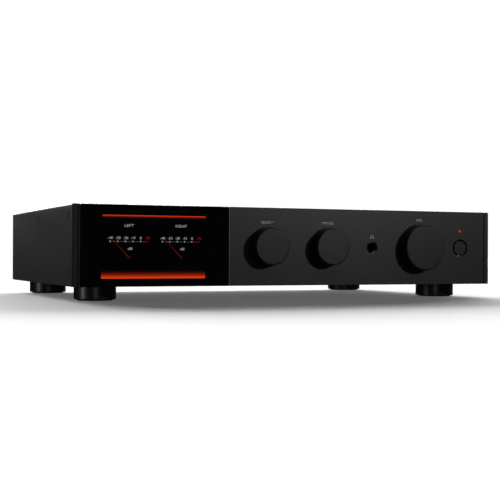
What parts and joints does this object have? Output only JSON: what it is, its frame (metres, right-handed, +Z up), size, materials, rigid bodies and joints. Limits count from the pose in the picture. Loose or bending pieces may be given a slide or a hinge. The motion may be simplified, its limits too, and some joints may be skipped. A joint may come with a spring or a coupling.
{
  "type": "integrated amplifier",
  "caption": "Slim full-width hi-fi integrated amplifier with a dark display window, turning control knobs, a press power key, a headphone socket and round feet.",
  "frame": {"origin": "centre of the overall footprint, on the surface that the feet stand on", "axes": "+X to the right as seen from the front, along the longest side; +Y to the back; +Z up. The front faces -Y"},
  "size_m": [0.444, 0.33, 0.089],
  "materials": {
    "fascia_black": "bead-blasted anodised, satin",
    "knob_black": "fine satin anodised",
    "cover_paint": "fine textured powder coat",
    "rear_paint": "satin paint",
    "plated_steel": "zinc plated",
    "window_glass": "smoked, polished",
    "display_black": "matte",
    "moulded_black": "fine moulded",
    "terminal_red": "semi-gloss",
    "terminal_black": "semi-gloss",
    "lens_red": "clear red",
    "foot_black": "semi-gloss moulded",
    "pad_rubber": "matte",
    "board_green": "solder mask",
    "winding_tape": "wound polyester tape",
    "sink_aluminium": "extruded",
    "capacitor_sleeve": "shrink sleeve",
    "screw_black": "black oxide"
  },
  "bodies": {
    "amplifier_case": {"front_fascia": "fascia_black", "left_end_cheek": "fascia_black", "right_end_cheek": "fascia_black", "display_window": "window_glass", "display_module": "display_black", "front_subframe": "plated_steel", "bottom_chassis": "plated_steel", "transformer_clamp": "plated_steel", "control_board": "board_green", "amplifier_board": "board_green", "input_board": "board_green", "select_encoder": "plated_steel", "mode_encoder": "plated_steel", "volume_encoder": "plated_steel", "power_switch": "moulded_black", "headphone_socket": "moulded_black", "standby_light_pipe": "lens_red", "top_cover": "cover_paint", "rear_panel": "rear_paint", "mains_panel": "rear_paint", "left_upper_front_screw": "screw_black", "left_upper_middle_screw": "screw_black", "left_lower_front_screw": "screw_black", "left_lower_middle_screw": "screw_black", "right_upper_front_screw": "screw_black", "right_upper_middle_screw": "screw_black", "right_lower_front_screw": "screw_black", "right_lower_middle_screw": "screw_black", "front_left_foot": "foot_black", "front_right_foot": "foot_black", "rear_left_foot": "foot_black", "rear_right_foot": "foot_black", "front_left_foot_pad": "pad_rubber", "front_right_foot_pad": "pad_rubber", "rear_left_foot_pad": "pad_rubber", "rear_right_foot_pad": "pad_rubber", "toroidal_transformer": "winding_tape", "heatsink": "sink_aluminium", "left_power_module": "moulded_black", "right_power_module": "moulded_black", "speaker_relay": "moulded_black", "mains_inlet": "moulded_black", "mains_switch_housing": "moulded_black", "analogue_jack_block": "moulded_black", "digital_jack_block": "moulded_black", "speaker_terminal_block": "moulded_black", "smoothing_capacitor_1": "capacitor_sleeve", "smoothing_capacitor_2": "capacitor_sleeve"},
    "select_control": {"select_knob": "knob_black", "select_shaft": "plated_steel"},
    "mode_control": {"mode_knob": "knob_black", "mode_shaft": "plated_steel"},
    "volume_control": {"volume_knob": "knob_black", "volume_shaft": "plated_steel"},
    "power_key": {"power_button": "knob_black"},
    "mains_paddle": {"mains_rocker": "moulded_black"},
    "left_negative_binding_post": {"left_negative_terminal_cap": "terminal_black"},
    "left_positive_binding_post": {"left_positive_terminal_cap": "terminal_red"},
    "right_negative_binding_post": {"right_negative_terminal_cap": "terminal_black"},
    "right_positive_binding_post": {"right_positive_terminal_cap": "terminal_red"}
  },
  "joints": [
    {"name": "select_turn", "type": "hinge", "parent": "amplifier_case", "child": "select_control", "pos_m": [-0.0318, -0.152, 0.0514], "axis": [0, 1, 0], "continuous": true},
    {"name": "mode_turn", "type": "hinge", "parent": "amplifier_case", "child": "mode_control", "pos_m": [0.0328, -0.152, 0.0514], "axis": [0, 1, 0], "continuous": true},
    {"name": "volume_turn", "type": "hinge", "parent": "amplifier_case", "child": "volume_control", "pos_m": [0.1374, -0.152, 0.0514], "axis": [0, 1, 0], "continuous": true},
    {"name": "power_press", "type": "slide", "parent": "amplifier_case", "child": "power_key", "axis": [0, 1, 0], "range_m": [0, 0.0015], "stiffness_N_per_m": 600, "springref_m": -0.001},
    {"name": "mains_rock", "type": "hinge", "parent": "amplifier_case", "child": "mains_paddle", "pos_m": [-0.15, 0.1377, 0.048], "axis": [1, 0, 0], "range_deg": [-18, 0]},
    {"name": "left_negative_terminal_unscrew", "type": "hinge", "parent": "amplifier_case", "child": "left_negative_binding_post", "pos_m": [0.102, 0.148, 0.052], "axis": [0, 1, 0], "range_deg": [0, 1080]},
    {"name": "left_positive_terminal_unscrew", "type": "hinge", "parent": "amplifier_case", "child": "left_positive_binding_post", "pos_m": [0.132, 0.148, 0.052], "axis": [0, 1, 0], "range_deg": [0, 1080]},
    {"name": "right_negative_terminal_unscrew", "type": "hinge", "parent": "amplifier_case", "child": "right_negative_binding_post", "pos_m": [0.168, 0.148, 0.052], "axis": [0, 1, 0], "range_deg": [0, 1080]},
    {"name": "right_positive_terminal_unscrew", "type": "hinge", "parent": "amplifier_case", "child": "right_positive_binding_post", "pos_m": [0.198, 0.148, 0.052], "axis": [0, 1, 0], "range_deg": [0, 1080]}
  ]
}
